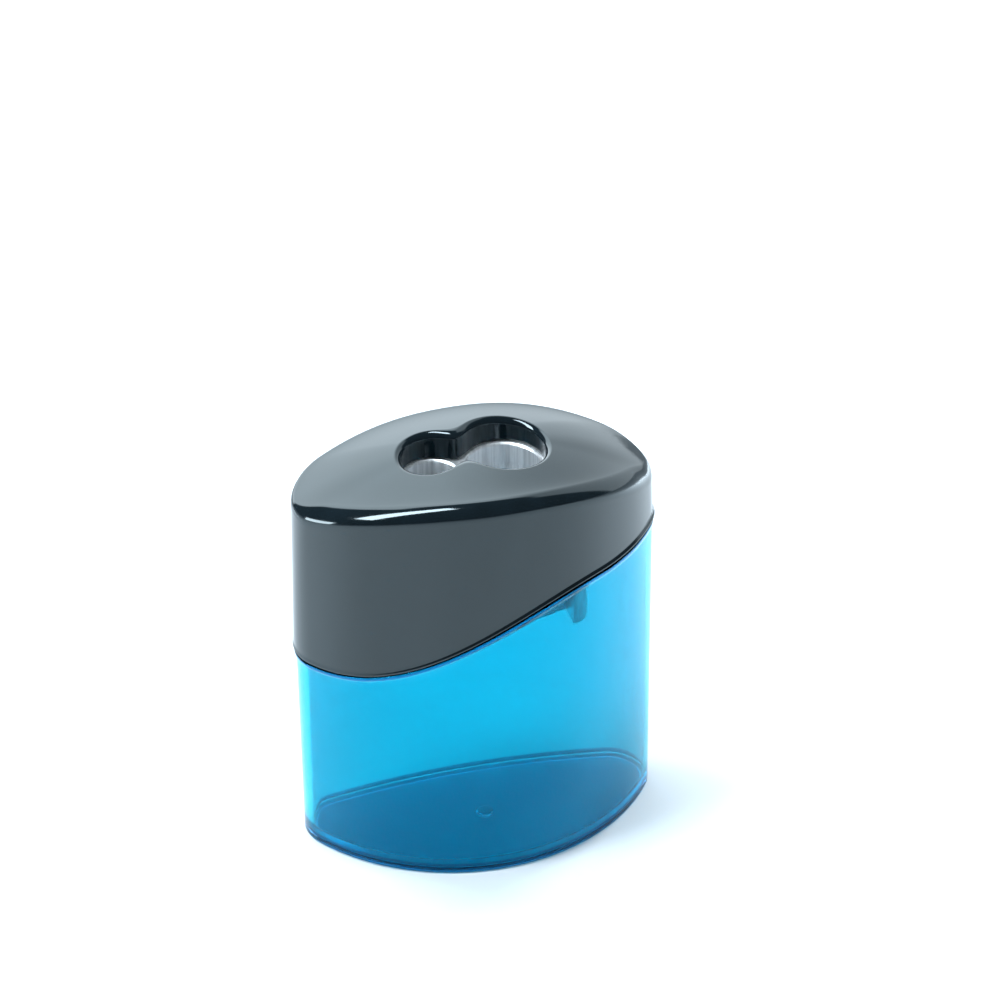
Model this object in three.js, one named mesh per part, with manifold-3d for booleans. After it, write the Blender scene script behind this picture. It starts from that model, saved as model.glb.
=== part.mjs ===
// A double-hole pencil sharpener over a shavings tub: a glossy lid carries a metal block with two
// conical bores and two blades, and lifts off a transparent tub. Millimetres, +Z up, the tub's
// resting face at z = 0, the outline centred on x = 0 and y = 0, the bulged front towards -Y.

import * as THREE from 'three';
import { mergeVertices } from 'three/addons/utils/BufferGeometryUtils.js';
import Module from 'manifold-3d';

const wasm = await Module();
wasm.setup();

// ---- driving dimensions -------------------------------------------------------------------

// Plan outline at the foot of the lid: a bulged front arc, a flatter back arc, round ends.
const HALF_WIDTH = 25.2;
const FRONT_DEPTH = 16.6;
const BACK_DEPTH = 8.6;
const END_RADIUS = 6.8;
const MID_DEPTH = (FRONT_DEPTH - BACK_DEPTH) / 2;

// The lid's top: arched along X, slightly crowned along Y. Its rounded lip is wide along the front,
// narrows round the ends and stays narrow along the back.
const CREST_Z = 61.5;
const CREST_X = -1.9;
const ARCH_DROP = 7.6;
const ARCH_POWER = 2.3;
const CROWN = 1.2;
const LIP_RADIUS = 2.1;
const LIP_BACK_RADIUS = 0.6;
const LIP_FADE_START = MID_DEPTH - 5;
const LIP_FADE_END = MID_DEPTH + 1;
const LID_TAPER = 0.33;
const LID_WALL = 1.5;

// The lid's lower edge is one S-curve, low at the left and high at the right.
const WAVE_LOW = 31.35;
const WAVE_RISE = 14.1;
const WAVE_START = -25.5;
const WAVE_LENGTH = 39.7;
const JOINT_GAP = 0.35;

// A small bead stands proud along the lid's lower edge.
const BEAD_OUT = 0.1;
const BEAD_HEIGHT = 0.6;

// The lid's skirt is thinned inside to slip over the tub's neck.
const SKIRT_WALL = 0.9;
const SKIRT_HEIGHT = 5.2;
const NECK_HEIGHT = 4.2;
const NECK_INSET = SKIRT_WALL + 0.3;

// The tub, tapered towards its base, with a rim under the lid's bead and a recess under the floor.
const TUB_TOP_INSET = 0.2;
const TUB_BASE_INSET = 0.8;
const TUB_RIM_INSET = 0.1;
const TUB_RIM_HEIGHT = 0.7;
const TUB_TAPER_HEIGHT = 46;
const TUB_INNER_TOP = 1.9;
const TUB_INNER_BASE = 2.0;
const TUB_EDGE_RADIUS = 0.35;
const TUB_FLOOR_FILLET = 0.5;
const FLOOR_TOP = 1.6;
const FOOT_WIDTH = 2.4;
const FOOT_RECESS = 0.4;
const GATE_RADIUS = 1.1;
const GATE_HEIGHT = 0.25;

// The two pencil holes run together into one opening and stand over the block's bores.
const HOLE_Y = 1.4;
const HOLE_BLEND = 3.0;
const RIM_RADIUS = 0.8;
const SMALL = { x: -6.2, opening: 4.2, mouth: 4.0, halfAngle: 10.0, bladeWidth: 5.7, screwX: 3.6 };
const LARGE = { x: 3.65, opening: 5.7, mouth: 5.2, halfAngle: 12.5, bladeWidth: 7.6, screwX: 4.9 };

// The metal block.
const BLOCK_TOP = 58.0;
const BLOCK_LENGTH = 25.0;
const BLOCK_LEFT = -12.7;
const BLOCK_RIGHT = 13.7;
const BLOCK_BACK = 6.0;
const BLOCK_FRONT_TOP = 6.0;
const BLOCK_FRONT_BASE = 3.4;
const FLANK_WIDTH = 1.7;
const GRIP_DEPTH = 1.0;
const COLLAR = 2.8;
const TIP_RADIUS = 0.7;
const BORE_CHAMFER = 0.25;
const SEAT_SPLIT = -0.05;
const SEAT_CUT = 0.45;
const CORNER_RADIUS = 1.4;

// The pocket inside the lid that grips the block's top.
const POCKET_GAP = 0.3;
const POCKET_WALL = 1.3;
const POCKET_BOTTOM = 49.0;

// Blades and screws.
const BLADE_THICKNESS = 0.6;
const BLADE_LENGTH = 20.6;
const BLADE_START = 0.5;
const BLADE_GAP = 0.25;
const BEVEL_WIDTH = 1.5;
const SCREW_DOWN = 13.6;
const SCREW_HEAD_RADIUS = 2.1;
const SCREW_HEAD_HEIGHT = 1.0;
const SCREW_SHANK_RADIUS = 1.0;
const SCREW_REACH = 3.2;
const SCREW_CLEARANCE = 0.3;

const OVER = 30;

// ---- solids -------------------------------------------------------------------------------

// A closed geometry becomes a solid that can be joined and cut.
function solid(geometry) {
  const bare = geometry.index ? geometry.toNonIndexed() : geometry.clone();
  bare.deleteAttribute('normal');
  bare.deleteAttribute('uv');
  const merged = mergeVertices(bare, 1e-5);
  return new wasm.Manifold(new wasm.Mesh({
    numProp: 3,
    vertProperties: new Float32Array(merged.attributes.position.array),
    triVerts: new Uint32Array(merged.index.array),
  }));
}

// A solid becomes a named mesh with its own material.
function mesh(name, body, colour, roughness, metalness, opacity = 1) {
  const cut = body.getMesh();
  const geometry = new THREE.BufferGeometry();
  geometry.setAttribute('position', new THREE.BufferAttribute(cut.vertProperties, 3));
  geometry.setIndex(new THREE.BufferAttribute(cut.triVerts, 1));
  geometry.computeVertexNormals();
  const material = new THREE.MeshStandardMaterial({ color: colour, roughness, metalness });
  material.opacity = opacity;
  material.transparent = opacity < 1;
  const result = new THREE.Mesh(geometry, material);
  result.name = name;
  return result;
}

// A profile in X and Z, pushed along Y from back to front.
function alongY(shape, back, front, curveSegments = 12) {
  const geometry = new THREE.ExtrudeGeometry(shape, {
    depth: back - front,
    bevelEnabled: false,
    curveSegments,
  });
  geometry.rotateX(Math.PI / 2);
  geometry.translate(0, back, 0);
  return solid(geometry);
}

// A profile in Y and Z, pushed along X from left to right.
function alongX(points, left, right) {
  const shape = new THREE.Shape(points.map(([y, z]) => new THREE.Vector2(y, z)));
  const geometry = new THREE.ExtrudeGeometry(shape, { depth: right - left, bevelEnabled: false });
  geometry.rotateX(Math.PI / 2);
  geometry.rotateZ(Math.PI / 2);
  geometry.translate(left, 0, 0);
  return solid(geometry);
}

// A profile of [radius, z] points turned about a vertical axis at x, y.
function turned(points, x, y, segments = 32) {
  const profile = points.map(([radius, z]) => new THREE.Vector2(radius, z));
  const geometry = new THREE.LatheGeometry(profile, segments);
  geometry.rotateX(Math.PI / 2);
  geometry.translate(x, y, 0);
  return solid(geometry);
}

function box(low, high) {
  const size = high.map((value, axis) => value - low[axis]);
  const geometry = new THREE.BoxGeometry(...size);
  geometry.translate(...high.map((value, axis) => (value + low[axis]) / 2));
  return solid(geometry);
}

// ---- the outline --------------------------------------------------------------------------

function arc(centreX, centreY, radius, from, to, count) {
  return Array.from({ length: count }, (_, step) => {
    const angle = from + (to - from) * (step / count);
    return [centreX + radius * Math.cos(angle), centreY + radius * Math.sin(angle)];
  });
}

// The plan outline moved inwards by inset: the arcs keep their centres, so it stays parallel.
function outline(inset) {
  const reach = HALF_WIDTH - END_RADIUS;
  const frontCentre = (reach ** 2 - (FRONT_DEPTH - END_RADIUS) ** 2) / (2 * (FRONT_DEPTH - END_RADIUS));
  const backCentre = (reach ** 2 - (BACK_DEPTH - END_RADIUS) ** 2) / (2 * (BACK_DEPTH - END_RADIUS));
  const frontAngle = Math.atan2(-frontCentre, reach);
  const backAngle = Math.atan2(backCentre, reach);
  const end = END_RADIUS - inset;
  return [
    ...arc(reach, MID_DEPTH, end, frontAngle, backAngle, 9),
    ...arc(0, MID_DEPTH - backCentre, backCentre + BACK_DEPTH - inset, backAngle, Math.PI - backAngle, 22),
    ...arc(-reach, MID_DEPTH, end, Math.PI - backAngle, Math.PI - frontAngle, 9),
    ...arc(0, MID_DEPTH + frontCentre, frontCentre + FRONT_DEPTH - inset,
      Math.PI - frontAngle, 2 * Math.PI + frontAngle, 26),
  ];
}

// The outline moved inwards by an amount that depends on y.
function unevenOutline(insetAt) {
  const inner = outline(1);
  return outline(0).map(([x, y], step) => {
    const inset = insetAt(y);
    return [x + (inner[step][0] - x) * inset, y + (inner[step][1] - y) * inset];
  });
}

// How far a point lies inside the outline (negative outside it).
function depthInside(x, y) {
  const reach = HALF_WIDTH - END_RADIUS;
  const depth = y < MID_DEPTH ? FRONT_DEPTH : BACK_DEPTH;
  const side = y < MID_DEPTH ? 1 : -1;
  const centre = (reach ** 2 - (depth - END_RADIUS) ** 2) / (2 * (depth - END_RADIUS));
  const across = Math.abs(x);
  const along = side * (MID_DEPTH - y);
  if ((along + centre) * reach < centre * across) {
    return END_RADIUS - Math.hypot(across - reach, along);
  }
  return centre + depth - Math.hypot(across, along + centre);
}

// One ring of the outline: the inset is a number or a function of y, the height a number or a
// function of x and y.
function ring(inset, height, scale = 1) {
  const points = typeof inset === 'function' ? unevenOutline(inset) : outline(inset);
  return points.map(([x, y]) => {
    const z = typeof height === 'function' ? height(x * scale, y * scale) : height;
    return [x * scale, y * scale, z];
  });
}

// A closed skin through rings listed from the bottom up, closed by a fan at each end.
function loft(rings, bottom, top, middle = [0, 0]) {
  const count = rings[0].length;
  const points = [[...middle, bottom], ...rings.flat(), [...middle, top]];
  const at = (level, step) => 1 + level * count + (step % count);
  const last = points.length - 1;
  const faces = [];
  for (let step = 0; step < count; step += 1) {
    faces.push(0, at(0, step + 1), at(0, step));
    for (let level = 0; level + 1 < rings.length; level += 1) {
      faces.push(at(level, step), at(level, step + 1), at(level + 1, step + 1));
      faces.push(at(level, step), at(level + 1, step + 1), at(level + 1, step));
    }
    faces.push(last, at(rings.length - 1, step), at(rings.length - 1, step + 1));
  }
  const geometry = new THREE.BufferGeometry();
  geometry.setAttribute('position', new THREE.Float32BufferAttribute(points.flat(), 3));
  geometry.setIndex(faces);
  return solid(geometry);
}

// ---- the wave between lid and tub ---------------------------------------------------------

function waveHeight(x) {
  const t = THREE.MathUtils.clamp((x - WAVE_START) / WAVE_LENGTH, 0, 1);
  return WAVE_LOW + WAVE_RISE * t * t * (3 - 2 * t);
}

// Everything under the wave, raised by lift.
function underWave(lift) {
  const steps = 28;
  const shape = new THREE.Shape();
  shape.moveTo(-OVER, -OVER);
  shape.lineTo(OVER, -OVER);
  for (let step = steps; step >= 0; step -= 1) {
    const x = step === steps ? OVER : WAVE_START + (WAVE_LENGTH * step) / (steps - 1);
    shape.lineTo(x, waveHeight(x) + lift);
  }
  shape.lineTo(-OVER, WAVE_LOW + lift);
  return alongY(shape, OVER, -OVER);
}

// ---- the lid ------------------------------------------------------------------------------

function archHeight(x) {
  return CREST_Z - ARCH_DROP * Math.abs((x - CREST_X) / HALF_WIDTH) ** ARCH_POWER;
}

// How far the crown lifts the arch, at a share of the way from the middle to the lip.
function crownHeight(share) {
  return CROWN * (1 - share ** 2) ** 1.5;
}

function lipRadius(y) {
  const share = THREE.MathUtils.smoothstep(y, LIP_FADE_START, LIP_FADE_END);
  return LIP_RADIUS + (LIP_BACK_RADIUS - LIP_RADIUS) * share;
}

function lipEnd(y) {
  return LID_TAPER + lipRadius(y);
}

function domeRing(inset, share, drop) {
  return ring(inset, (x) => archHeight(x) + crownHeight(share) - drop, share);
}

// The share of the way from the middle to the lip, at a point on top.
function shareAt(x, y) {
  let low = 0;
  let high = 1;
  for (let step = 0; step < 24; step += 1) {
    const share = (low + high) / 2;
    if (share > 0 && depthInside(x / share, y / share) > lipEnd(y / share)) {
      high = share;
    } else {
      low = share;
    }
  }
  return high;
}

function topHeight(x, y) {
  return archHeight(x) + crownHeight(shareAt(x, y));
}

function lidOutside() {
  const lip = [0, 22.5, 45, 67.5, 90].map((degrees) => {
    const angle = THREE.MathUtils.degToRad(degrees);
    const insetAt = (y) => LID_TAPER + lipRadius(y) * (1 - Math.cos(angle));
    return ring(insetAt, (x, y) => archHeight(x) - lipRadius(y) * (1 - Math.sin(angle)));
  });
  const crown = [0.85, 0.68, 0.5, 0.25].map((share) => domeRing(lipEnd, share, 0));
  return loft([ring(0, WAVE_LOW - 3), ...lip, ...crown], WAVE_LOW - 3, archHeight(0) + CROWN);
}

function lidInside() {
  const ceiling = [1, 0.7, 0.35].map((share) => domeRing(LID_WALL, share, LID_WALL));
  return loft([ring(LID_WALL, 0), ...ceiling], 0, archHeight(0) + CROWN - LID_WALL);
}

// The two pencil holes as one opening grown by grow: two circles whose meeting corners are blended,
// found along rays from the point between them.
function holeOutline(grow, count = 56) {
  const middle = holesMiddle();
  const outside = (x, y) => {
    const small = Math.hypot(x - SMALL.x, y - HOLE_Y) - SMALL.opening - grow;
    const large = Math.hypot(x - LARGE.x, y - HOLE_Y) - LARGE.opening - grow;
    const share = THREE.MathUtils.clamp(0.5 + (large - small) / (2 * HOLE_BLEND), 0, 1);
    return large + (small - large) * share - HOLE_BLEND * share * (1 - share);
  };
  return Array.from({ length: count }, (_, step) => {
    const angle = (2 * Math.PI * step) / count;
    let low = 0;
    let high = HALF_WIDTH;
    for (let turn = 0; turn < 30; turn += 1) {
      const reach = (low + high) / 2;
      const here = outside(middle + reach * Math.cos(angle), HOLE_Y + reach * Math.sin(angle));
      low = here < 0 ? reach : low;
      high = here < 0 ? high : reach;
    }
    return [middle + low * Math.cos(angle), HOLE_Y + low * Math.sin(angle)];
  });
}

function holesMiddle() {
  return (SMALL.x + SMALL.opening + LARGE.x - LARGE.opening) / 2;
}

// The opening through the lid, straight from the pocket up, with its upper rim rounded outwards.
function lidHoles() {
  const wall = holeOutline(0).map(([x, y]) => [x, y, POCKET_BOTTOM]);
  const rim = [0, 22.5, 45, 67.5, 90].map((degrees) => {
    const angle = THREE.MathUtils.degToRad(degrees);
    const drop = RIM_RADIUS * (1 - Math.sin(angle));
    return holeOutline(RIM_RADIUS * (1 - Math.cos(angle))).map(([x, y]) => [x, y, topHeight(x, y) - drop]);
  });
  const above = holeOutline(RIM_RADIUS).map(([x, y]) => [x, y, CREST_Z + 5]);
  return loft([wall, ...rim, above], POCKET_BOTTOM, CREST_Z + 5, [holesMiddle(), HOLE_Y]);
}

function pocketBox(margin, bottom, top) {
  return box(
    [BLOCK_LEFT - margin, HOLE_Y - BLOCK_FRONT_TOP - margin, bottom],
    [BLOCK_RIGHT + margin, HOLE_Y + BLOCK_BACK + margin, top],
  );
}

// The bead along the lower edge.
function lidBead() {
  const plate = loft([ring(-BEAD_OUT, 0), ring(-BEAD_OUT, CREST_Z)], 0, CREST_Z);
  return plate.intersect(underWave(BEAD_HEIGHT)).subtract(underWave(-1));
}

function lidBody() {
  const boss = pocketBox(POCKET_GAP + POCKET_WALL, POCKET_BOTTOM, CREST_Z + OVER);
  const skirt = loft([ring(SKIRT_WALL, 0), ring(SKIRT_WALL, CREST_Z)], 0, CREST_Z);
  const cavity = lidInside().subtract(boss).add(skirt.intersect(underWave(SKIRT_HEIGHT)));
  return lidOutside()
    .add(lidBead())
    .subtract(cavity)
    .subtract(underWave(0))
    .subtract(pocketBox(POCKET_GAP, 0, BLOCK_TOP + POCKET_GAP))
    .subtract(lidHoles());
}

// ---- the tub ------------------------------------------------------------------------------

function tubOutside() {
  const edge = [0, 30, 60, 90].map((degrees) => {
    const angle = THREE.MathUtils.degToRad(degrees);
    const inset = TUB_BASE_INSET + TUB_EDGE_RADIUS * (1 - Math.sin(angle));
    return ring(inset, TUB_EDGE_RADIUS * (1 - Math.cos(angle)));
  });
  return loft([...edge, ring(TUB_TOP_INSET, TUB_TAPER_HEIGHT + 2)], 0, TUB_TAPER_HEIGHT + 2);
}

// The rim along the tub's upper edge.
function tubRim() {
  const plate = loft([ring(TUB_RIM_INSET, 0), ring(TUB_RIM_INSET, CREST_Z)], 0, CREST_Z);
  return plate.intersect(underWave(-JOINT_GAP)).subtract(underWave(-JOINT_GAP - TUB_RIM_HEIGHT));
}

function tubBody() {
  const shell = tubOutside().intersect(underWave(-JOINT_GAP)).add(tubRim());
  const neck = loft([ring(NECK_INSET, FLOOR_TOP + 2), ring(NECK_INSET, CREST_Z)], FLOOR_TOP + 2, CREST_Z);
  const inside = loft([
    ring(TUB_INNER_BASE + TUB_FLOOR_FILLET, FLOOR_TOP),
    ring(TUB_INNER_BASE, FLOOR_TOP + TUB_FLOOR_FILLET),
    ring(TUB_INNER_TOP, TUB_TAPER_HEIGHT + 8),
  ], FLOOR_TOP, TUB_TAPER_HEIGHT + 8);
  const recess = loft([ring(FOOT_WIDTH, -1), ring(FOOT_WIDTH, FOOT_RECESS)], -1, FOOT_RECESS);
  const gate = turned([
    [0, FLOOR_TOP - 0.5],
    [GATE_RADIUS, FLOOR_TOP - 0.5],
    [GATE_RADIUS, FLOOR_TOP + GATE_HEIGHT],
    [0, FLOOR_TOP + GATE_HEIGHT],
  ], 0, 0, 20);
  return shell.add(neck.intersect(underWave(NECK_HEIGHT))).subtract(inside).subtract(recess).add(gate);
}

// ---- the block ----------------------------------------------------------------------------

function slope({ halfAngle }) {
  return Math.tan(THREE.MathUtils.degToRad(halfAngle));
}

// The bore: a short straight mouth, then a cone, then a small way out at the bottom.
function bore(hole) {
  const tip = COLLAR + (hole.mouth - TIP_RADIUS) / slope(hole);
  return turned([
    [0, BLOCK_TOP - BLOCK_LENGTH - 1],
    [TIP_RADIUS, BLOCK_TOP - BLOCK_LENGTH - 1],
    [TIP_RADIUS, BLOCK_TOP - tip],
    [hole.mouth, BLOCK_TOP - COLLAR],
    [hole.mouth, BLOCK_TOP - BORE_CHAMFER],
    [hole.mouth + BORE_CHAMFER, BLOCK_TOP],
    [hole.mouth + BORE_CHAMFER, BLOCK_TOP + 1],
    [0, BLOCK_TOP + 1],
  ], hole.x, HOLE_Y, 40);
}

// The front view: waisted sides for the fingers and rounded lower corners.
function blockFace() {
  const bottom = BLOCK_TOP - BLOCK_LENGTH;
  const grip = [BLOCK_TOP - 4.5, bottom + 4.5];
  const middle = (grip[0] + grip[1]) / 2;
  const shape = new THREE.Shape();
  shape.moveTo(BLOCK_LEFT, BLOCK_TOP);
  shape.lineTo(BLOCK_LEFT, grip[0]);
  shape.quadraticCurveTo(BLOCK_LEFT + 2 * GRIP_DEPTH, middle, BLOCK_LEFT, grip[1]);
  shape.lineTo(BLOCK_LEFT, bottom + CORNER_RADIUS);
  shape.absarc(BLOCK_LEFT + CORNER_RADIUS, bottom + CORNER_RADIUS, CORNER_RADIUS, Math.PI, 1.5 * Math.PI);
  shape.absarc(BLOCK_RIGHT - CORNER_RADIUS, bottom + CORNER_RADIUS, CORNER_RADIUS, -0.5 * Math.PI, 0);
  shape.lineTo(BLOCK_RIGHT, grip[1]);
  shape.quadraticCurveTo(BLOCK_RIGHT - 2 * GRIP_DEPTH, middle, BLOCK_RIGHT, grip[0]);
  shape.lineTo(BLOCK_RIGHT, BLOCK_TOP);
  return alongY(shape, OVER, -OVER, 5);
}

// The side view between the flanks: a full collar, then the sloping blade seat of one bore. The
// large bore's seat stands in front of the small one's all the way down.
function seatSlab(hole, left, right) {
  const back = HOLE_Y + BLOCK_BACK;
  const seatTop = HOLE_Y - (hole.mouth - SEAT_CUT);
  const seatBase = seatTop + (BLOCK_LENGTH - COLLAR) * slope(hole);
  return alongX([
    [back, BLOCK_TOP],
    [back, BLOCK_TOP - BLOCK_LENGTH],
    [seatBase, BLOCK_TOP - BLOCK_LENGTH],
    [seatTop, BLOCK_TOP - COLLAR],
    [HOLE_Y - BLOCK_FRONT_TOP, BLOCK_TOP - COLLAR],
    [HOLE_Y - BLOCK_FRONT_TOP, BLOCK_TOP],
  ], left, right);
}

// A flank stands proud of the seats and guards the blades.
function flank(left, right) {
  return alongX([
    [HOLE_Y + BLOCK_BACK, BLOCK_TOP],
    [HOLE_Y + BLOCK_BACK, BLOCK_TOP - BLOCK_LENGTH],
    [HOLE_Y - BLOCK_FRONT_BASE, BLOCK_TOP - BLOCK_LENGTH],
    [HOLE_Y - BLOCK_FRONT_TOP, BLOCK_TOP - COLLAR],
    [HOLE_Y - BLOCK_FRONT_TOP, BLOCK_TOP],
  ], left, right);
}

// A group whose origin is the top of a blade's cutting edge, with -Z down the blade, -Y outwards.
function seatFrame(hole) {
  const frame = new THREE.Group();
  frame.position.set(hole.x, HOLE_Y - (hole.mouth - SEAT_CUT), BLOCK_TOP - COLLAR);
  frame.rotation.x = THREE.MathUtils.degToRad(hole.halfAngle);
  frame.updateMatrix();
  return frame;
}

function onSeat(hole, geometry) {
  return solid(geometry.applyMatrix4(seatFrame(hole).matrix));
}

// The ramp beside the cutting edge that lets the shaving out.
function chipRamp(hole) {
  const shape = new THREE.Shape();
  shape.moveTo(0, -3);
  shape.lineTo(0, 0.7);
  shape.lineTo(-3.4, -0.1);
  shape.lineTo(-3.4, -3);
  const length = BLADE_LENGTH - 1;
  const geometry = new THREE.ExtrudeGeometry(shape, { depth: length, bevelEnabled: false });
  return onSeat(hole, geometry.translate(0, 0, -length - BLADE_START));
}

function screwHole(hole) {
  const depth = SCREW_REACH + 1.2;
  const geometry = new THREE.CylinderGeometry(
    SCREW_SHANK_RADIUS + SCREW_CLEARANCE,
    SCREW_SHANK_RADIUS + SCREW_CLEARANCE,
    depth + 2,
    20,
  );
  return onSeat(hole, geometry.translate(hole.screwX, depth / 2 - 1, -SCREW_DOWN));
}

function blockBody() {
  const body = seatSlab(SMALL, BLOCK_LEFT, BLOCK_RIGHT)
    .add(seatSlab(LARGE, SEAT_SPLIT, BLOCK_RIGHT))
    .add(flank(BLOCK_LEFT, BLOCK_LEFT + FLANK_WIDTH))
    .add(flank(BLOCK_RIGHT - FLANK_WIDTH, BLOCK_RIGHT))
    .intersect(blockFace());
  return [SMALL, LARGE].reduce(
    (rest, hole) => rest.subtract(bore(hole)).subtract(chipRamp(hole)).subtract(screwHole(hole)),
    body,
  );
}

// ---- blades and screws --------------------------------------------------------------------

function bladeBody(hole) {
  const shape = new THREE.Shape();
  shape.moveTo(0, 0);
  shape.lineTo(BEVEL_WIDTH, -BLADE_THICKNESS);
  shape.lineTo(hole.bladeWidth, -BLADE_THICKNESS);
  shape.lineTo(hole.bladeWidth, 0);
  const geometry = new THREE.ExtrudeGeometry(shape, { depth: BLADE_LENGTH, bevelEnabled: false });
  geometry.translate(0, -BLADE_GAP, -BLADE_LENGTH - BLADE_START);
  const radius = SCREW_SHANK_RADIUS + SCREW_CLEARANCE;
  const eye = new THREE.CylinderGeometry(radius, radius, 4, 20);
  eye.translate(hole.screwX, 0, -SCREW_DOWN);
  return onSeat(hole, geometry).subtract(onSeat(hole, eye));
}

// A slotted pan-head screw standing on the blade, its shank down in the block.
function screwBody(hole) {
  const under = BLADE_GAP + BLADE_THICKNESS + SCREW_CLEARANCE;
  const head = [0, 22.5, 45, 67.5, 90].map((degrees) => {
    const angle = THREE.MathUtils.degToRad(degrees);
    return new THREE.Vector2(
      SCREW_HEAD_RADIUS * Math.cos(angle),
      under + SCREW_HEAD_HEIGHT * (0.4 + 0.6 * Math.sin(angle)),
    );
  });
  head[head.length - 1].x = 0;
  const profile = [
    new THREE.Vector2(0, -SCREW_REACH),
    new THREE.Vector2(SCREW_SHANK_RADIUS - 0.3, -SCREW_REACH),
    new THREE.Vector2(SCREW_SHANK_RADIUS, -SCREW_REACH + 0.4),
    new THREE.Vector2(SCREW_SHANK_RADIUS, under),
    new THREE.Vector2(SCREW_HEAD_RADIUS, under),
    ...head,
  ];
  const turn = (geometry) => geometry.rotateX(Math.PI).translate(hole.screwX, 0, -SCREW_DOWN);
  const slotDepth = 0.55;
  const slot = new THREE.BoxGeometry(6, slotDepth * 2, 0.6);
  slot.rotateY(0.6).translate(0, under + SCREW_HEAD_HEIGHT, 0);
  return onSeat(hole, turn(new THREE.LatheGeometry(profile, 24))).subtract(onSeat(hole, turn(slot)));
}

// ---- the assembly -------------------------------------------------------------------------

const sharpener = new THREE.Group();
sharpener.name = 'double_hole_sharpener';

const lidAssembly = new THREE.Group();
lidAssembly.add(
  mesh('lid', lidBody(), 0x14181b, 0.12, 0.0),
  mesh('sharpener_block', blockBody(), 0xb9bcc0, 0.35, 0.9),
  mesh('small_blade', bladeBody(SMALL), 0x9a9ea4, 0.25, 1.0),
  mesh('large_blade', bladeBody(LARGE), 0x9a9ea4, 0.25, 1.0),
  mesh('small_blade_screw', screwBody(SMALL), 0x8c9096, 0.3, 1.0),
  mesh('large_blade_screw', screwBody(LARGE), 0x8c9096, 0.3, 1.0),
);

sharpener.add(mesh('tub', tubBody(), 0x00a4dd, 0.08, 0.0, 0.45), lidAssembly);

export default sharpener;
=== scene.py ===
"""A double-hole pencil sharpener: a glossy black lid with a metal block in it, over a clear blue tub.

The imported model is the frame. The lid and the tub are rebuilt here as smooth skins, ring by ring, on
the same outline and the same wave as the frame's own. The block, its blades and its screws are the
frame's shapes with rounded edges. Lengths are in millimetres until a mesh is made.
"""

import math

import bmesh
import bpy
import numpy as np
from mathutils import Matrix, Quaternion, Vector


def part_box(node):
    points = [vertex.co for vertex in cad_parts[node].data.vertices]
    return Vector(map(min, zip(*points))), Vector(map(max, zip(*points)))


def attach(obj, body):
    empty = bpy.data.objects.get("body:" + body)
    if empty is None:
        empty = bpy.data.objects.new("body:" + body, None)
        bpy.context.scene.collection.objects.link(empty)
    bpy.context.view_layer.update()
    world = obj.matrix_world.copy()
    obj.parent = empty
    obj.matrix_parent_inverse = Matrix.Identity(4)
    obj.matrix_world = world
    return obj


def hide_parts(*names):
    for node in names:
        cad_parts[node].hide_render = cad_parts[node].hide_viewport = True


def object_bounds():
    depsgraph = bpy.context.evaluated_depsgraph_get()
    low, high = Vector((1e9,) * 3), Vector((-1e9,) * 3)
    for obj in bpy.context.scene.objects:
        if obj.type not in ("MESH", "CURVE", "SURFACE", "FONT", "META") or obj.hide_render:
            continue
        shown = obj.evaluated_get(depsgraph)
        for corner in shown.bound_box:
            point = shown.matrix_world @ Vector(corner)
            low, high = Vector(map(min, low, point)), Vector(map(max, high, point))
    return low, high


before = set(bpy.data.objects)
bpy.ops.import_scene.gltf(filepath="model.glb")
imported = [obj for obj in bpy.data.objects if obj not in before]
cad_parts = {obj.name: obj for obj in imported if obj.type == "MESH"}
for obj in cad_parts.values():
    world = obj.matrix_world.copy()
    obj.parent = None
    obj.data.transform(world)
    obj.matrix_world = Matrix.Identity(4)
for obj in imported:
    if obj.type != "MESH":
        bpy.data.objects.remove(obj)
cad_low, cad_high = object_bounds()

MM = 0.001

# ---- driving dimensions, as in the frame, with a slightly slimmer and taller bead -----------

HALF_WIDTH = 25.2
FRONT_DEPTH = 16.6
BACK_DEPTH = 8.6
END_RADIUS = 6.8
MID_DEPTH = (FRONT_DEPTH - BACK_DEPTH) / 2
REACH = HALF_WIDTH - END_RADIUS
FRONT_CENTRE = (REACH**2 - (FRONT_DEPTH - END_RADIUS) ** 2) / (2 * (FRONT_DEPTH - END_RADIUS))
BACK_CENTRE = (REACH**2 - (BACK_DEPTH - END_RADIUS) ** 2) / (2 * (BACK_DEPTH - END_RADIUS))

CREST_Z = 61.5
CREST_X = -1.9
ARCH_DROP = 7.6
ARCH_POWER = 2.3
CROWN = 1.2
CROWN_POWER = 1.5
LIP_RADIUS = 2.1
LIP_BACK_RADIUS = 0.6
LIP_FADE_START = MID_DEPTH - 5
LIP_FADE_END = MID_DEPTH + 1
LID_TAPER = 0.33
LID_TAPER_BELOW_WAVE = 3
LID_WALL = 1.5
CEILING_RADIUS = 0.5
BEAD_OUT = 0.08
BEAD_HEIGHT = 0.7
BEAD_EDGE_RADIUS = 0.25

WAVE_LOW = 31.35
WAVE_RISE = 14.1
WAVE_START = -25.5
WAVE_LENGTH = 39.7
JOINT_GAP = 0.35
SKIRT_WALL = 0.9
SKIRT_HEIGHT = 5.2
SKIRT_STEP_CLEARANCE = 1.0
SKIRT_EDGE_RADIUS = 0.12
NECK_INSET = 1.2
NECK_HEIGHT = 4.2
NECK_FOOT_RADIUS = 0.15
NECK_EDGE_RADIUS = 0.3

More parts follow.
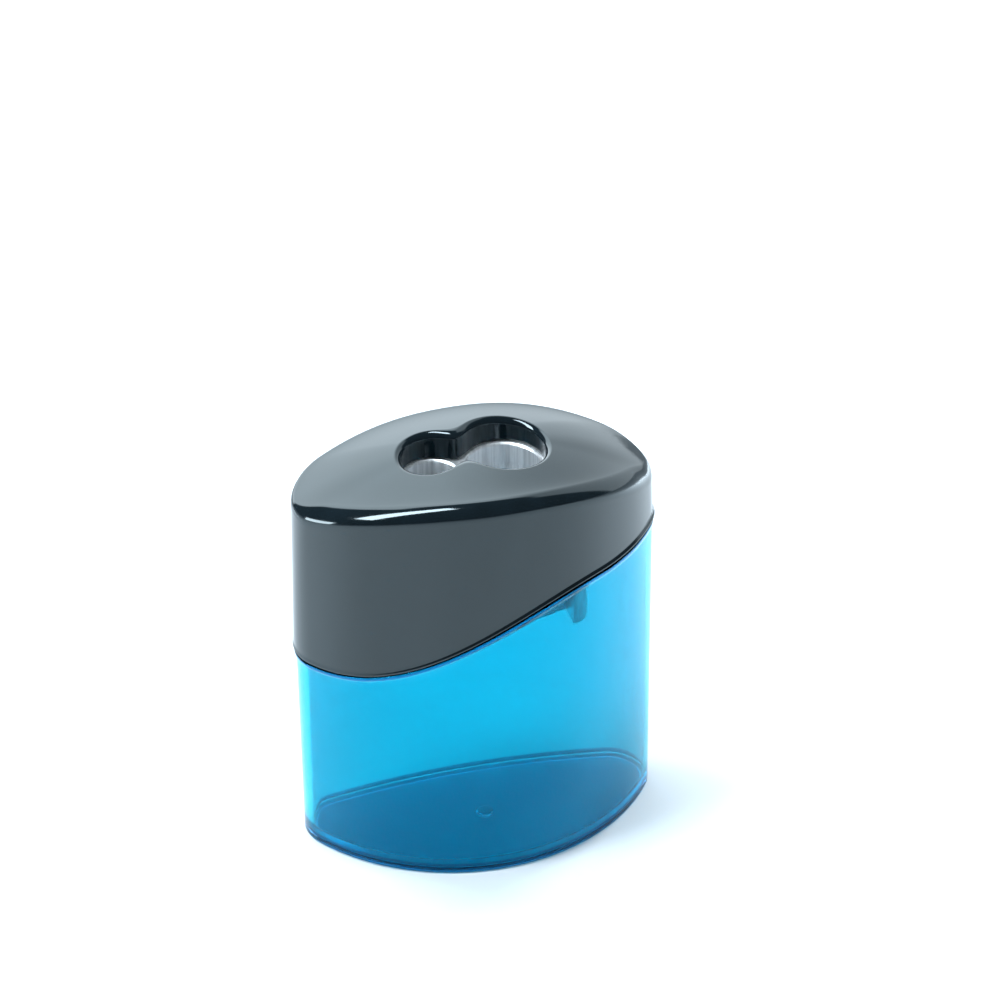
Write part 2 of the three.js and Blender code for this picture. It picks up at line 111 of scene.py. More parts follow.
TUB_TOP_INSET = 0.2
TUB_BASE_INSET = 0.8
TUB_RIM_INSET = 0.1
TUB_RIM_HEIGHT = 0.7
TUB_RIM_RISE = 0.12
# height and fade of the band of painted shade on the tub's rim just under the lid
RIM_SHADE_HEIGHT = 0.5
RIM_SHADE_FADE = 0.15
TUB_TAPER_TOP = 48.0
TUB_INNER_TOP = 1.9
TUB_INNER_BASE = 2.0
TUB_EDGE_RADIUS = 0.35
TUB_FLOOR_FILLET = 0.5
TUB_SHOULDER_RADIUS = 0.22
TUB_SHOULDER_INSET = 0.5
TUB_INNER_TAPER_EXTRA = 6
FLOOR_TOP = 1.6
FOOT_WIDTH = 2.4
FOOT_RECESS = 0.4
RECESS_EDGE_RADIUS = 0.1
GATE_RADIUS = 1.1
GATE_HEIGHT = 0.25
GATE_EDGE = 0.08

HOLE_Y = 1.4
SMALL_HOLE = (-6.2, 4.2)
LARGE_HOLE = (3.65, 5.7)
HOLE_BLEND = 3.0
RIM_RADIUS = 0.8

POCKET_GAP = 0.3
POCKET_WALL = 1.3
POCKET_RADIUS = 0.4
BOSS_RADIUS = 2.5
BOSS_CLEARANCE = 0.9
POCKET_BOTTOM = 49.0

MERGE_DISTANCE = 2e-6
FLAT_ANGLE = math.radians(1.0)
EDGE_ANGLE = math.radians(32)

RAY_COUNT = 384
RAYS = np.linspace(0, 2 * math.pi, RAY_COUNT, endpoint=False)


# ---- outlines as distances along rays -------------------------------------------------------


def outline_distance(x, y):
    """How far a point lies outside the lens whose offset by END_RADIUS is the plan outline."""
    front = y < MID_DEPTH
    centre = np.where(front, FRONT_CENTRE, BACK_CENTRE)
    centre_y = np.where(front, MID_DEPTH + FRONT_CENTRE, MID_DEPTH - BACK_CENTRE)
    depth = np.where(front, FRONT_DEPTH, BACK_DEPTH)
    on_arc = np.abs(y - centre_y) * REACH >= centre * np.abs(x)
    arc = np.hypot(x, y - centre_y) - (centre + depth - END_RADIUS)
    tip = np.hypot(np.abs(x) - REACH, y - MID_DEPTH)
    return np.where(on_arc, arc, tip)


def ray_reach(distance, centre):
    """The length of each ray from centre to where distance(x, y) turns from below zero to above."""
    low = np.zeros(RAY_COUNT)
    high = np.full(RAY_COUNT, 2.0 * HALF_WIDTH)
    for _ in range(44):
        middle = (low + high) / 2
        inside = distance(centre[0] + middle * np.cos(RAYS), centre[1] + middle * np.sin(RAYS)) < 0
        low = np.where(inside, middle, low)
        high = np.where(inside, high, middle)
    return (low + high) / 2


def outline_reach(inset, centre):
    """inset is a number, an array with one entry per ray, or a function of y."""
    inset_at = inset if callable(inset) else lambda y: inset
    return ray_reach(lambda x, y: outline_distance(x, y) - (END_RADIUS - inset_at(y)), centre)


def holes_reach(grow, centre):
    """The two pencil holes as one opening, their meeting corners blended."""

    def distance(x, y):
        small = np.hypot(x - SMALL_HOLE[0], y - HOLE_Y) - SMALL_HOLE[1] - grow
        large = np.hypot(x - LARGE_HOLE[0], y - HOLE_Y) - LARGE_HOLE[1] - grow
        share = np.clip(0.5 + 0.5 * (large - small) / HOLE_BLEND, 0, 1)
        return large + (small - large) * share - HOLE_BLEND * share * (1 - share)

    return ray_reach(distance, centre)


def pocket_reach(margin, radius, centre):
    """The block's own outline seen from above, grown by margin, with rounded corners."""
    low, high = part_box("sharpener_block")
    middle = (low + high) / (2 * MM)
    half = (high - low) / (2 * MM)

    def distance(x, y):
        across = np.abs(x - middle.x) - (half.x + margin - radius)
        along = np.abs(y - middle.y) - (half.y + margin - radius)
        outside = np.hypot(np.maximum(across, 0), np.maximum(along, 0))
        return outside + np.minimum(np.maximum(across, along), 0) - radius

    return ray_reach(distance, centre)


# ---- heights --------------------------------------------------------------------------------


def arch_height(x):
    return CREST_Z - ARCH_DROP * (np.abs(x - CREST_X) / HALF_WIDTH) ** ARCH_POWER


def lip_radius(y):
    """Wide along the front, narrowing round the ends, narrow along the back."""
    t = np.clip((y - LIP_FADE_START) / (LIP_FADE_END - LIP_FADE_START), 0, 1)
    return LIP_RADIUS + (LIP_BACK_RADIUS - LIP_RADIUS) * t * t * (3 - 2 * t)


def wave_height(x):
    t = np.clip((x - WAVE_START) / WAVE_LENGTH, 0, 1)
    return WAVE_LOW + WAVE_RISE * t * t * (3 - 2 * t)


def blend(a, b, share):
    return a + (b - a) * share


def quarter(steps, start=0.0):
    """Angles of a quarter turn, from start of the way along."""
    return np.linspace(start * math.pi / 2, math.pi / 2, steps)


# ---- skins from rings -----------------------------------------------------------------------


class Skin:
    """A closed skin made of rings round one centre, each a reach along every ray and a height."""

    def __init__(self, centre):
        self.centre = centre
        self.rings = []

    def x(self, reach):
        return self.centre[0] + reach * np.cos(RAYS)

    def y(self, reach):
        return self.centre[1] + reach * np.sin(RAYS)

    def add(self, reach, height):
        reach = np.broadcast_to(reach, RAY_COUNT)
        height = height(self.x(reach)) if callable(height) else height
        self.rings.append(np.stack([self.x(reach), self.y(reach), np.broadcast_to(height, RAY_COUNT)], 1))

    def piece(self, name, looped):
        """looped joins the last ring to the first; otherwise a point closes each end."""
        points = np.concatenate(self.rings)
        count = len(self.rings)
        faces = []
        for level in range(count if looped else count - 1):
            here, there = level * RAY_COUNT, (level + 1) % count * RAY_COUNT
            for step in range(RAY_COUNT):
                after = (step + 1) % RAY_COUNT
                faces.append((here + step, here + after, there + after, there + step))
        if not looped:
            ends = [(0, self.rings[0], 1), ((count - 1) * RAY_COUNT, self.rings[-1], -1)]
            for start, ring, way in ends:
                middle = len(points)
                points = np.vstack([points, [*self.centre, ring[:, 2].mean()]])
                for step in range(RAY_COUNT):
                    pair = (start + step, start + (step + 1) % RAY_COUNT)
                    faces.append((middle, *pair[::-way]))
        mesh = bpy.data.meshes.new(name)
        mesh.from_pydata((points * MM).tolist(), [], faces)
        skin = bmesh.new()
        skin.from_mesh(mesh)
        bmesh.ops.recalc_face_normals(skin, faces=skin.faces)
        skin.to_mesh(mesh)
        skin.free()
        mesh.shade_smooth()
        piece = bpy.data.objects.new(name, mesh)
        bpy.context.scene.collection.objects.link(piece)
        return piece


def even_normals(piece):
    """Keeps broad faces flat where they meet a narrow rounded edge."""
    weighted = piece.modifiers.new("even_normals", "WEIGHTED_NORMAL")
    weighted.mode = "FACE_AREA"
    weighted.weight = 50
    return piece


def build_lid():
    centre = ((SMALL_HOLE[0] + SMALL_HOLE[1] + LARGE_HOLE[0] - LARGE_HOLE[1]) / 2, HOLE_Y)
    skin = Skin(centre)
    lip_reach = outline_reach(lambda y: LID_TAPER + lip_radius(y), centre)

    def top_height(reach):
        share = np.clip(reach / lip_reach, 0, 1)
        return arch_height(skin.x(reach)) + CROWN * (1 - share**2) ** CROWN_POWER

    # the pencil holes: straight walls up from the pocket, then a rounded rim
    pocket_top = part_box("sharpener_block")[1].z / MM + POCKET_GAP
    wall = holes_reach(0, centre)
    rim = holes_reach(RIM_RADIUS, centre)
    rim_height = top_height(rim)
    for share in (0, 0.03, 0.35, 0.7, 0.97):
        skin.add(wall, blend(pocket_top, rim_height - RIM_RADIUS, share))
    for angle in quarter(9):
        grow = RIM_RADIUS * (1 - math.cos(angle))
        skin.add(holes_reach(grow, centre), rim_height - RIM_RADIUS * (1 - math.sin(angle)))

    # the crowned top, then the lip
    for share in (1 - np.cos(np.linspace(0, math.pi, 22)[1:-1])) / 2:
        reach = blend(rim, lip_reach, share)
        skin.add(reach, top_height(reach))
    for angle in quarter(12)[::-1]:
        reach = outline_reach(lambda y: LID_TAPER + lip_radius(y) * (1 - math.cos(angle)), centre)
        drop = lip_radius(skin.y(reach)) * (1 - math.sin(angle))
        skin.add(reach, arch_height(skin.x(reach)) - drop)

    # the outer wall, and the flared bead along its lower edge
    side = outline_reach(0, centre)
    wave = wave_height(skin.x(side))
    side_top = arch_height(skin.x(side)) - lip_radius(skin.y(side))
    side_low = wave + BEAD_HEIGHT
    taper_low = WAVE_LOW - LID_TAPER_BELOW_WAVE

    def inset_at(height):
        return LID_TAPER * (height - taper_low) / (side_top - taper_low)

    for share in (0.01, *np.linspace(0.05, 0.95, 14), 0.985, 1.0):
        height = blend(side_top, side_low, share)
        skin.add(outline_reach(inset_at(height), centre), height)
    for share in (0.12, 0.35, 0.7, 1.0):
        inset = blend(inset_at(side_low), -BEAD_OUT, share**1.25)
        skin.add(outline_reach(inset, centre), blend(side_low, wave + BEAD_EDGE_RADIUS, share))
    for angle in quarter(6)[1:]:
        inset = -BEAD_OUT + BEAD_EDGE_RADIUS * (1 - math.cos(angle))
        skin.add(outline_reach(inset, centre), wave + BEAD_EDGE_RADIUS * (1 - math.sin(angle)))

    # the skirt's inside, its step, the inner wall and the ceiling
    small = SKIRT_EDGE_RADIUS
    inner = outline_reach(LID_WALL, centre)
    step_limit = arch_height(skin.x(inner)) - LID_WALL - SKIRT_STEP_CLEARANCE
    step_height = np.minimum(wave + SKIRT_HEIGHT, step_limit)
    skin.add(outline_reach(SKIRT_WALL - small, centre), wave)
    for height in (wave + small, blend(wave, step_height, 0.5), step_height - small):
        skin.add(outline_reach(SKIRT_WALL, centre), height)
    skin.add(outline_reach(SKIRT_WALL + small, centre), step_height)
    skin.add(outline_reach(LID_WALL - small, centre), step_height)
    ceiling_edge = arch_height(skin.x(inner)) - LID_WALL - CEILING_RADIUS
    for share in (0.1, 0.5, 0.95):
        skin.add(inner, blend(step_height, ceiling_edge, share))
    for angle in quarter(4, 0.3):
        reach = outline_reach(LID_WALL + CEILING_RADIUS * (1 - math.cos(angle)), centre)
        skin.add(reach, lambda x: arch_height(x) - LID_WALL - CEILING_RADIUS * (1 - math.sin(angle)))
    boss = np.minimum(
        pocket_reach(POCKET_GAP + POCKET_WALL, BOSS_RADIUS, centre),
        outline_reach(LID_WALL + BOSS_CLEARANCE, centre),
    )
    ceiling = outline_reach(LID_WALL + CEILING_RADIUS, centre)
    for share in (0.2, 0.5, 0.8, 0.97):
        reach = blend(ceiling, boss, share)
        skin.add(reach, top_height(reach) - LID_WALL)

    # the pocket that holds the block, down its outside and up its inside
    under_boss = top_height(boss) - LID_WALL
    for share in (0.05, 0.5, 0.97):
        skin.add(boss, blend(under_boss, POCKET_BOTTOM, share))
    pocket = pocket_reach(POCKET_GAP, POCKET_RADIUS, centre)
    skin.add(blend(boss, pocket, 0.15), POCKET_BOTTOM)
    skin.add(blend(boss, pocket, 0.85), POCKET_BOTTOM)
    for share in (0.03, 0.5, 0.98):
        skin.add(pocket, blend(POCKET_BOTTOM, pocket_top, share))
    skin.add(blend(pocket, wall, 0.05), pocket_top)
    skin.add(blend(pocket, wall, 0.9), pocket_top)
    return even_normals(skin.piece("lid_shell", looped=True))


def build_tub():
    centre = (0.0, 0.0)
    skin = Skin(centre)

    def inset_at(height):
        share = (height - TUB_EDGE_RADIUS) / (TUB_TAPER_TOP - TUB_EDGE_RADIUS)
        return blend(TUB_BASE_INSET, TUB_TOP_INSET, share)

    # the recess under the floor and the foot round it
    recess = outline_reach(FOOT_WIDTH, centre)
    for share in (0.35, 0.7, 0.96):
        skin.add(recess * share, FOOT_RECESS)
    for angle in quarter(4):
        reach = recess - RECESS_EDGE_RADIUS * (1 - math.sin(angle))
        skin.add(reach, FOOT_RECESS - RECESS_EDGE_RADIUS * (1 - math.cos(angle)))
    for angle in quarter(4):
        reach = recess + RECESS_EDGE_RADIUS * (1 - math.cos(angle))
        skin.add(reach, RECESS_EDGE_RADIUS * (1 - math.sin(angle)))
    flat_edge = outline_reach(TUB_BASE_INSET + TUB_EDGE_RADIUS, centre)
    for share in (0.3, 0.7):
        skin.add(blend(recess, flat_edge, share), 0.0)
    for angle in quarter(9):
        inset = TUB_BASE_INSET + TUB_EDGE_RADIUS * (1 - math.sin(angle))
        skin.add(outline_reach(inset, centre), TUB_EDGE_RADIUS * (1 - math.cos(angle)))

    # the outer wall up to the rim, the rim under the lid's bead, and the neck
    outside = outline_reach(TUB_SHOULDER_INSET, centre)
    shoulder = wave_height(skin.x(outside)) - JOINT_GAP
    rim_low = shoulder - TUB_RIM_HEIGHT
    for share in (0.01, *np.linspace(0.05, 0.95, 16), 0.99):
        height = blend(TUB_EDGE_RADIUS, rim_low, share)
        skin.add(outline_reach(inset_at(height), centre), height)
    for share in (0.3, 0.7, 1.0):
        inset = blend(inset_at(rim_low), TUB_RIM_INSET, share)
        skin.add(outline_reach(inset, centre), rim_low + TUB_RIM_RISE * share**2)
    for angle in quarter(6):
        inset = TUB_RIM_INSET + TUB_SHOULDER_RADIUS * (1 - math.cos(angle))
        height = shoulder - TUB_SHOULDER_RADIUS * (1 - math.sin(angle))
        skin.add(outline_reach(inset, centre), height)
    skin.add(outline_reach(NECK_INSET - NECK_FOOT_RADIUS, centre), shoulder)
    skin.add(outline_reach(NECK_INSET, centre), shoulder + NECK_FOOT_RADIUS)
    neck = outline_reach(NECK_INSET, centre)
    neck_top = wave_height(skin.x(neck)) + NECK_HEIGHT
    rim = NECK_EDGE_RADIUS
    for share in (0.3, 0.7, 0.98):
        skin.add(neck, blend(shoulder + NECK_FOOT_RADIUS, neck_top - rim, share))
    for angle in quarter(5):
        reach = outline_reach(NECK_INSET + rim * (1 - math.cos(angle)), centre)
        skin.add(reach, neck_top - rim * (1 - math.sin(angle)))
    for angle in quarter(5)[::-1]:
        reach = outline_reach(TUB_INNER_TOP - rim * (1 - math.cos(angle)), centre)
        skin.add(reach, neck_top - rim * (1 - math.sin(angle)))

    # the inner wall down to the floor
    floor_edge = FLOOR_TOP + TUB_FLOOR_FILLET
    for share in (0.01, *np.linspace(0.05, 0.95, 16), 0.99):
        height = blend(neck_top - rim, floor_edge, share)
        slope = (height - floor_edge) / (TUB_TAPER_TOP + TUB_INNER_TAPER_EXTRA - floor_edge)
        skin.add(outline_reach(blend(TUB_INNER_BASE, TUB_INNER_TOP, slope), centre), height)
    for angle in quarter(8):
        inset = TUB_INNER_BASE + TUB_FLOOR_FILLET * (1 - math.cos(angle))
        skin.add(outline_reach(inset, centre), floor_edge - TUB_FLOOR_FILLET * math.sin(angle))

    # the floor and the gate mark in its middle
    floor = outline_reach(TUB_INNER_BASE + TUB_FLOOR_FILLET, centre)
    for share in (0.97, 0.8, 0.6, 0.4, 0.25):
        skin.add(floor * share, FLOOR_TOP)
    skin.add(GATE_RADIUS + 0.25, FLOOR_TOP)
    skin.add(GATE_RADIUS + 0.05, FLOOR_TOP + 0.04)
    skin.add(GATE_RADIUS, FLOOR_TOP + GATE_HEIGHT - GATE_EDGE)
    skin.add(GATE_RADIUS - GATE_EDGE, FLOOR_TOP + GATE_HEIGHT)
    skin.add(GATE_RADIUS * 0.5, FLOOR_TOP + GATE_HEIGHT * 0.8)
    return even_normals(skin.piece("tub_shell", looped=False))


def finished(node, name, width, segments=3):
    """A frame node's own shape with its flats joined, its edges rounded and its curves smooth."""
    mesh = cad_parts[node].data.copy()
    mesh.name = name
    shape = bmesh.new()
    shape.from_mesh(mesh)
    bmesh.ops.remove_doubles(shape, verts=shape.verts, dist=MERGE_DISTANCE)
    bmesh.ops.dissolve_limit(shape, angle_limit=FLAT_ANGLE, verts=shape.verts, edges=shape.edges)
    shape.to_mesh(mesh)
    shape.free()
    mesh.materials.clear()
    mesh.shade_smooth()
    piece = bpy.data.objects.new(name, mesh)
    bpy.context.scene.collection.objects.link(piece)
    bevel = piece.modifiers.new("edges", "BEVEL")
    bevel.width = width * MM
    bevel.segments = segments
    bevel.limit_method = "ANGLE"
    bevel.angle_limit = EDGE_ANGLE
    bevel.harden_normals = True
    bevel.use_clamp_overlap = True
    return piece


# ---- materials ------------------------------------------------------------------------------


def map_range(tree, source, ends, smooth=False):
    """source mapped from ends[0]..ends[1] to ends[2]..ends[3], held at the two ends."""
    node = tree.nodes.new("ShaderNodeMapRange")
    node.interpolation_type = "SMOOTHSTEP" if smooth else "LINEAR"
    tree.links.new(source, node.inputs["Value"])
    for name, value in zip(("From Min", "From Max", "To Min", "To Max"), ends):
        node.inputs[name].default_value = value
    return node.outputs["Result"]


class Finish:
    """A material with one Principled shader and helpers for its nodes."""

    def __init__(self, name):
        self.material = bpy.data.materials.new(name)
        self.material.use_nodes = True
        self.tree = self.material.node_tree
        self.shader = self.tree.nodes["Principled BSDF"]
        self.output = self.tree.nodes["Material Output"]
        self.coordinates = self.tree.nodes.new("ShaderNodeTexCoord").outputs["Object"]

    def set(self, **values):
        for name, value in values.items():
            self.shader.inputs[name.replace("_", " ")].default_value = value

    def link(self, source, target):
        self.tree.links.new(source, target)

    def noise(self, scale, detail=3.0, stretch=(1, 1, 1), roughness=0.5):
        """Noise with scale features per metre, stretched along an axis by a share below 1."""
        mapping = self.tree.nodes.new("ShaderNodeMapping")
        mapping.inputs["Scale"].default_value = stretch
        self.link(self.coordinates, mapping.inputs["Vector"])
        noise = self.tree.nodes.new("ShaderNodeTexNoise")
        noise.inputs["Scale"].default_value = scale
        noise.inputs["Detail"].default_value = detail
        noise.inputs["Roughness"].default_value = roughness
        self.link(mapping.outputs["Vector"], noise.inputs["Vector"])
        return noise.outputs["Fac"]

    def ramp(self, source, stops):
        """stops is a list of (position, colour or grey)."""
        ramp = self.tree.nodes.new("ShaderNodeValToRGB")
        elements = ramp.color_ramp.elements
        while len(elements) < len(stops):
            elements.new(0.5)
        for element, (position, colour) in zip(elements, stops):
            element.position = position
            rgb = colour if isinstance(colour, tuple) else (colour,) * 3
            element.color = (*rgb, 1.0)
        self.link(source, ramp.inputs["Fac"])
        return ramp.outputs["Color"]

    def split(self, vector):
        """The three numbers of a vector, by name."""
        split = self.tree.nodes.new("ShaderNodeSeparateXYZ")
        self.link(vector, split.inputs["Vector"])
        return split.outputs

    def calculate(self, operation, *sources):
        node = self.tree.nodes.new("ShaderNodeMath")
        node.operation = operation
        for source, target in zip(sources, node.inputs):
            self.link(source, target)
        return node.outputs["Value"]

    def by_height(self, low, high, at_low, at_high):
        """A value that runs from at_low to at_high between two heights."""
        height = self.split(self.coordinates)["Z"]
        return map_range(self.tree, height, (low * MM, high * MM, at_low, at_high))

    def mix(self, factor, first, second):
        """first where the factor is 0, second where it is 1."""
        mix = self.tree.nodes.new("ShaderNodeMix")
        mix.data_type = "RGBA"
        for source, name in ((factor, "Factor_Float"), (first, "A_Color"), (second, "B_Color")):
            target = next(socket for socket in mix.inputs if socket.identifier == name)
            self.link(source, target)
        return next(socket for socket in mix.outputs if socket.identifier == "Result_Color")

    def rim_painted_shade_band(self):
        """1 on the tub's rim just under the lid's wave, where the rim's painted shade goes, 0 elsewhere.
        """
        place = self.split(self.coordinates)
        middle = WAVE_LOW - JOINT_GAP - RIM_SHADE_HEIGHT / 2
        along_wave = (WAVE_START, WAVE_START + WAVE_LENGTH, middle, middle + WAVE_RISE)
        wave = map_range(self.tree, place["X"], [value * MM for value in along_wave], smooth=True)
        away = self.calculate("ABSOLUTE", self.calculate("SUBTRACT", place["Z"], wave))
        full, none = RIM_SHADE_HEIGHT / 2, RIM_SHADE_HEIGHT / 2 + RIM_SHADE_FADE
        return map_range(self.tree, away, (full * MM, none * MM, 1.0, 0.0))

    def upright(self):
        """1 on walls, 0 on faces that look up or down."""
        normal = self.split(self.coordinates.node.outputs["Normal"])
        return map_range(self.tree, self.calculate("ABSOLUTE", normal["Z"]), (0.3, 0.8, 1.0, 0.0))

    def bump(self, source, strength, distance):
        bump = self.tree.nodes.new("ShaderNodeBump")
        bump.inputs["Strength"].default_value = strength
        bump.inputs["Distance"].default_value = distance * MM
        self.link(source, bump.inputs["Height"])
        self.link(bump.outputs["Normal"], self.shader.inputs["Normal"])


def black_gloss():
    finish = Finish("black_gloss")
    finish.set(IOR=1.6, Specular_Tint=(0.85, 0.97, 1.0, 1.0))
    tone = finish.ramp(finish.noise(260, 4), [(0.3, (0.003, 0.006, 0.008)), (0.7, (0.004, 0.008, 0.011))])
    finish.link(tone, finish.shader.inputs["Base Color"])
    worn = finish.noise(900, 6, (1, 1, 0.15), 0.65)
    finish.link(finish.ramp(worn, [(0.35, 0.06), (0.75, 0.13)]), finish.shader.inputs["Roughness"])
    finish.bump(finish.noise(420, 2), 0.05, 0.02)
    return finish.material


def clear_blue():
    """Clear plastic. The floor's tint is lighter, painted light that lifts the floor seen through it out
    of the lid's shade; the outer foot and the rim just under the lid are painted dark, painted shade for
    the dark look of the thick base edge and of the lid's underside seen through the rim.
    """
    finish = Finish("clear_blue")
    finish.set(IOR=1.49, Transmission_Weight=1.0, Specular_Tint=(0.05, 0.5, 0.75, 1.0))
    cloud = finish.noise(60, 3)
    wall = finish.ramp(cloud, [(0.3, (0.0, 0.535, 0.645)), (0.7, (0.001, 0.56, 0.665))])
    # painted light: the floor's lighter tint lifts the floor seen through it out of the lid's shade
    slab_painted_light = finish.ramp(cloud, [(0.3, (0.0, 0.84, 0.99)), (0.7, (0.001, 0.88, 1.0))])
    # painted shade: the outer foot's dark navy tone stands for how dark the thick base edge looks
    foot = finish.ramp(cloud, [(0.3, (0.03, 0.10, 0.20)), (0.7, (0.035, 0.11, 0.22))])
    # painted shade: a dark navy band on the rim just under the lid, standing for the lid's underside seen
    # dark through it
    rim = finish.ramp(cloud, [(0.3, (0.0, 0.10, 0.30)), (0.7, (0.001, 0.11, 0.32))])
    base = finish.mix(finish.upright(), slab_painted_light, foot)
    above_floor = finish.mix(finish.rim_painted_shade_band(), wall, rim)
    tone = finish.mix(finish.by_height(FLOOR_TOP, FLOOR_TOP + 0.1, 0.0, 1.0), base, above_floor)
    finish.link(tone, finish.shader.inputs["Base Color"])
    scuffs = finish.noise(700, 6, (1, 1, 0.2), 0.7)
    worn = finish.ramp(scuffs, [(0.45, 0.015), (0.8, 0.07)])
    # the ceiling of the recess is lightly frosted
    above_foot = finish.by_height(0.1, 0.35, 0.0, 0.35)
    under_recess = finish.by_height(0.45, 0.6, 1.0, 0.0)
    frosted = finish.calculate("MULTIPLY", above_foot, under_recess)
    roughness = finish.calculate("MAXIMUM", worn, frosted)
    finish.link(roughness, finish.shader.inputs["Roughness"])
    finish.bump(finish.noise(300, 2), 0.03, 0.02)
    depth = finish.tree.nodes.new("ShaderNodeVolumeAbsorption")
    depth.inputs["Color"].default_value = (0.0, 0.84, 0.995, 1.0)
    depth.inputs["Density"].default_value = 200.0
    finish.link(depth.outputs["Volume"], finish.output.inputs["Volume"])
    return finish.material


def cast_metal():
    finish = Finish("cast_metal")
    finish.set(Metallic=0.8)
    streaks = finish.noise(1500, 5, (1, 1, 0.03), 0.65)
    tone = finish.ramp(streaks, [(0.35, (0.60, 0.62, 0.64)), (0.65, (0.94, 0.96, 0.98))])
    finish.link(tone, finish.shader.inputs["Base Color"])
    finish.link(finish.ramp(streaks, [(0.3, 0.30), (0.75, 0.48)]), finish.shader.inputs["Roughness"])
    finish.bump(streaks, 0.4, 0.04)
    return finish.material


def ground_steel():
    finish = Finish("ground_steel")
    finish.set(Metallic=1.0)
    lines = finish.noise(2600, 4, (0.03, 1, 1), 0.6)
    tone = finish.ramp(lines, [(0.3, (0.52, 0.53, 0.56)), (0.7, (0.68, 0.69, 0.71))])
    finish.link(tone, finish.shader.inputs["Base Color"])
    finish.link(finish.ramp(lines, [(0.3, 0.16), (0.75, 0.32)]), finish.shader.inputs["Roughness"])
    finish.bump(lines, 0.2, 0.01)
    return finish.material


def bright_screw():
    finish = Finish("bright_screw")
    finish.set(Metallic=1.0)
    tone = finish.ramp(finish.noise(1500, 4), [(0.3, (0.62, 0.63, 0.62)), (0.7, (0.75, 0.75, 0.73))])
    finish.link(tone, finish.shader.inputs["Base Color"])
    finish.link(
        finish.ramp(finish.noise(1900, 5), [(0.3, 0.18), (0.75, 0.35)]),
        finish.shader.inputs["Roughness"],
    )
    finish.bump(finish.noise(2500, 3), 0.15, 0.01)
    return finish.material


def pale_floor():
    finish = Finish("pale_floor")
    finish.set(Roughness=0.85, Specular_IOR_Level=0.1)
    tone = finish.ramp(finish.noise(30, 3), [(0.3, (0.50, 0.52, 0.54)), (0.7, (0.52, 0.54, 0.56))])
    finish.link(tone, finish.shader.inputs["Base Color"])
    return finish.material


# ---- pieces on the frame --------------------------------------------------------------------


def place(piece, body, node, slot, material):
    piece.data.materials.clear()
    piece.data.materials.append(material)
    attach(piece, body)
    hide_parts(node)


steel, screw_metal = ground_steel(), bright_screw()
place(build_tub(), "tub", "tub", "tub_plastic", clear_blue())
place(build_lid(), "lid", "lid", "lid_plastic", black_gloss())
place(finished("sharpener_block", "block", 0.16), "lid", "sharpener_block", "block_metal", cast_metal())
for size in ("small", "large"):
    blade, screw = f"{size}_blade", f"{size}_blade_screw"
    place(finished(blade, f"{size}_cutter", 0.04, 2), "lid", blade, "blade_steel", steel)
    place(finished(screw, f"{size}_screw", 0.08, 2), "lid", screw, "screw_steel", screw_metal)

# ---- floor, light and camera ----------------------------------------------------------------

COOL_LIGHT = (1.0, 1.12, 1.20)
PANEL_GLOW = 3.6
ROOM_GLOW = 0.06
PANEL_LEFT_EDGE = (-0.95, -0.75)
PANEL_RIGHT_FADE = (-0.1, 1.1)
PANEL_RIGHT_SHARE = 0.32
PANEL_BACK_EDGE = (0.0, 0.12)
PANEL_TOP_EDGE = (0.82, 0.88)
FLOOR_HALF = 3.0
FLOOR_GAP = 0.0001


def build_floor():
    mesh = bpy.data.meshes.new("studio_floor")
    corners = [(x * FLOOR_HALF, y * FLOOR_HALF, 0) for x, y in ((-1, -1), (1, -1), (1, 1), (-1, 1))]
    mesh.from_pydata(corners, [], [(0, 1, 2, 3)])
    mesh.materials.append(pale_floor())
    floor = bpy.data.objects.new("studio_floor", mesh)
    bpy.context.scene.collection.objects.link(floor)
    floor.location.z = cad_low.z - FLOOR_GAP


def softbox(name, place_at, aim_at, size, radiance, mirrored=True):
    """A softbox that is not mirrored fills shadows without a highlight of its own."""
    light = bpy.data.lights.new(name, "AREA")
    light.shape = "RECTANGLE"
    light.size, light.size_y = size
    light.energy = radiance * math.pi * size[0] * size[1]
    light.color = COOL_LIGHT
    lamp = bpy.data.objects.new(name, light)
    bpy.context.scene.collection.objects.link(lamp)
    lamp.location = place_at
    lamp.rotation_mode = "QUATERNION"
    lamp.rotation_quaternion = (Vector(aim_at) - Vector(place_at)).to_track_quat("-Z", "Y")
    lamp.visible_camera = False
    lamp.visible_glossy = mirrored


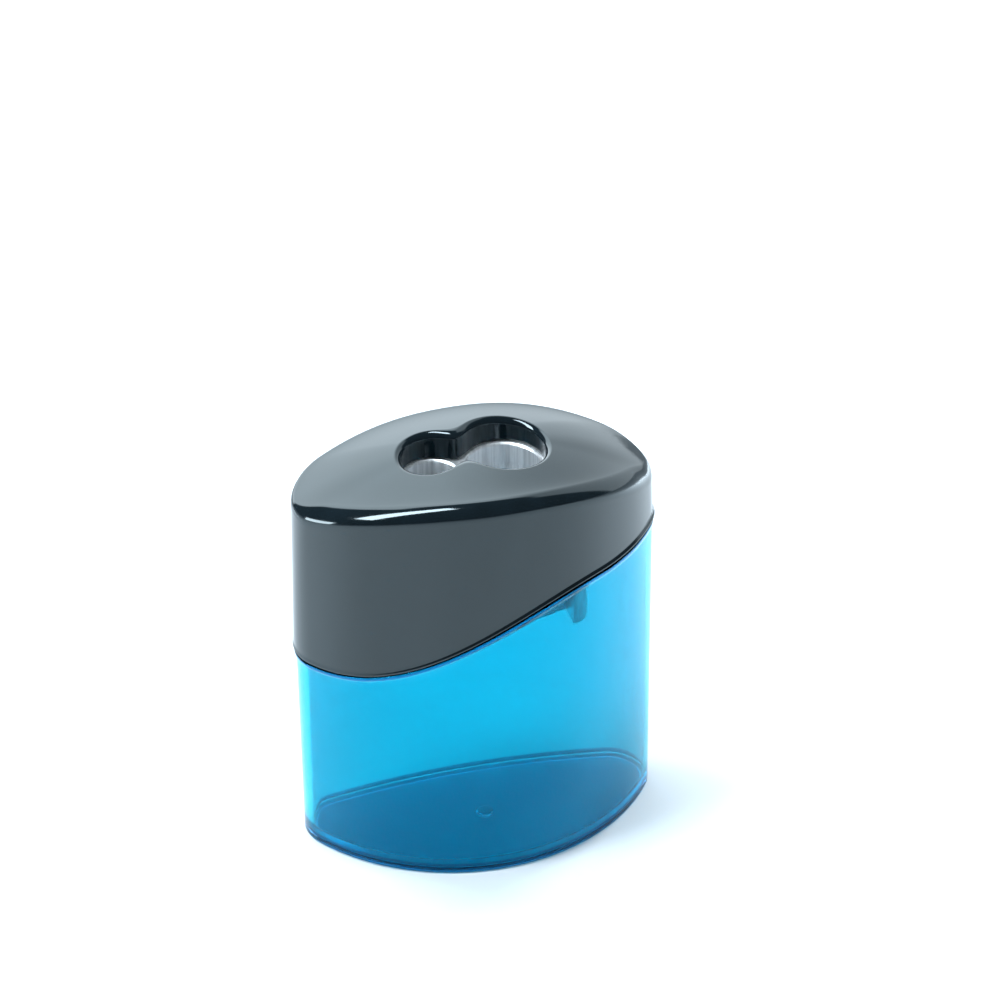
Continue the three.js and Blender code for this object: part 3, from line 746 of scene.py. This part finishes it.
def build_world():
    """A wide bright panel behind the object, fading to its right, and dark everywhere else."""
    world = bpy.data.worlds.new("studio")
    bpy.context.scene.world = world
    world.use_nodes = True
    tree = world.node_tree
    direction = tree.nodes.new("ShaderNodeTexCoord").outputs["Generated"]
    split = tree.nodes.new("ShaderNodeSeparateXYZ")
    tree.links.new(direction, split.inputs["Vector"])

    def calculate(operation, first, second):
        node = tree.nodes.new("ShaderNodeMath")
        node.operation = operation
        for socket, value in zip(node.inputs, (first, second)):
            if isinstance(value, float):
                socket.default_value = value
            else:
                tree.links.new(value, socket)
        return node.outputs["Value"]

    def fade(source, *ends):
        return map_range(tree, source, ends, smooth=True)

    sideways = calculate("DIVIDE", split.outputs["X"], calculate("MAXIMUM", split.outputs["Y"], 0.01))
    panel = fade(sideways, *PANEL_LEFT_EDGE, 0.0, 1.0)
    for part in (
        fade(sideways, *PANEL_RIGHT_FADE, 1.0, PANEL_RIGHT_SHARE),
        fade(split.outputs["Z"], *PANEL_TOP_EDGE, 1.0, 0.0),
        fade(split.outputs["Y"], *PANEL_BACK_EDGE, 0.0, 1.0),
    ):
        panel = calculate("MULTIPLY", panel, part)
    background = tree.nodes["Background"]
    background.inputs["Color"].default_value = (*COOL_LIGHT, 1.0)
    glow = calculate("MULTIPLY_ADD", panel, PANEL_GLOW)
    glow.node.inputs[2].default_value = ROOM_GLOW
    tree.links.new(glow, background.inputs["Strength"])


# The camera looks at the middle of the object from the front left and above.
CAMERA_AZIMUTH = -14.47
CAMERA_ELEVATION = 36.83
CAMERA_DISTANCE = 0.9383
CAMERA_LENS = 248.1
CAMERA_ROLL = -0.69
AIM_RIGHT = 0.00376
AIM_UP = 0.0166


def build_camera():
    camera = bpy.data.cameras.new("camera")
    camera.sensor_width = 36
    camera.lens = CAMERA_LENS
    holder = bpy.data.objects.new("camera", camera)
    bpy.context.scene.collection.objects.link(holder)
    bpy.context.scene.camera = holder
    azimuth, elevation = math.radians(CAMERA_AZIMUTH), math.radians(CAMERA_ELEVATION)
    away = Vector((
        math.sin(azimuth) * math.cos(elevation),
        -math.cos(azimuth) * math.cos(elevation),
        math.sin(elevation),
    ))
    middle = Vector((0, MID_DEPTH * MM, CREST_Z * MM / 2))
    right = Vector((math.cos(azimuth), math.sin(azimuth), 0))
    holder.location = middle + away * CAMERA_DISTANCE
    aim = middle + right * AIM_RIGHT + away.cross(right) * AIM_UP
    facing = (aim - holder.location).to_track_quat("-Z", "Y")
    holder.rotation_mode = "QUATERNION"
    holder.rotation_quaternion = facing @ Quaternion((0, 0, 1), math.radians(CAMERA_ROLL))


build_floor()
build_world()
softbox("overhead_left_strip", (-0.31, -0.045, 0.48), (0, 0, 0.05), (0.14, 0.60), 18.0)
softbox("low_left_box", (-0.45, 0.03, 0.06), (0, 0, 0.05), (0.09, 0.06), 11.5)
softbox("right_fill", (0.42, -0.30, 0.30), (0.05, -0.03, 0.0), (0.30, 0.30), 9.0, mirrored=False)
softbox("back_left_fill", (-0.20, 0.18, 0.10), (-0.06, 0.05, 0.0), (0.10, 0.10), 32.0, mirrored=False)
softbox("back_right_fill", (0.24, 0.14, 0.09), (0.09, 0.03, 0.0), (0.10, 0.10), 40.0, mirrored=False)
build_camera()
bpy.context.scene.view_settings.view_transform = "Standard"
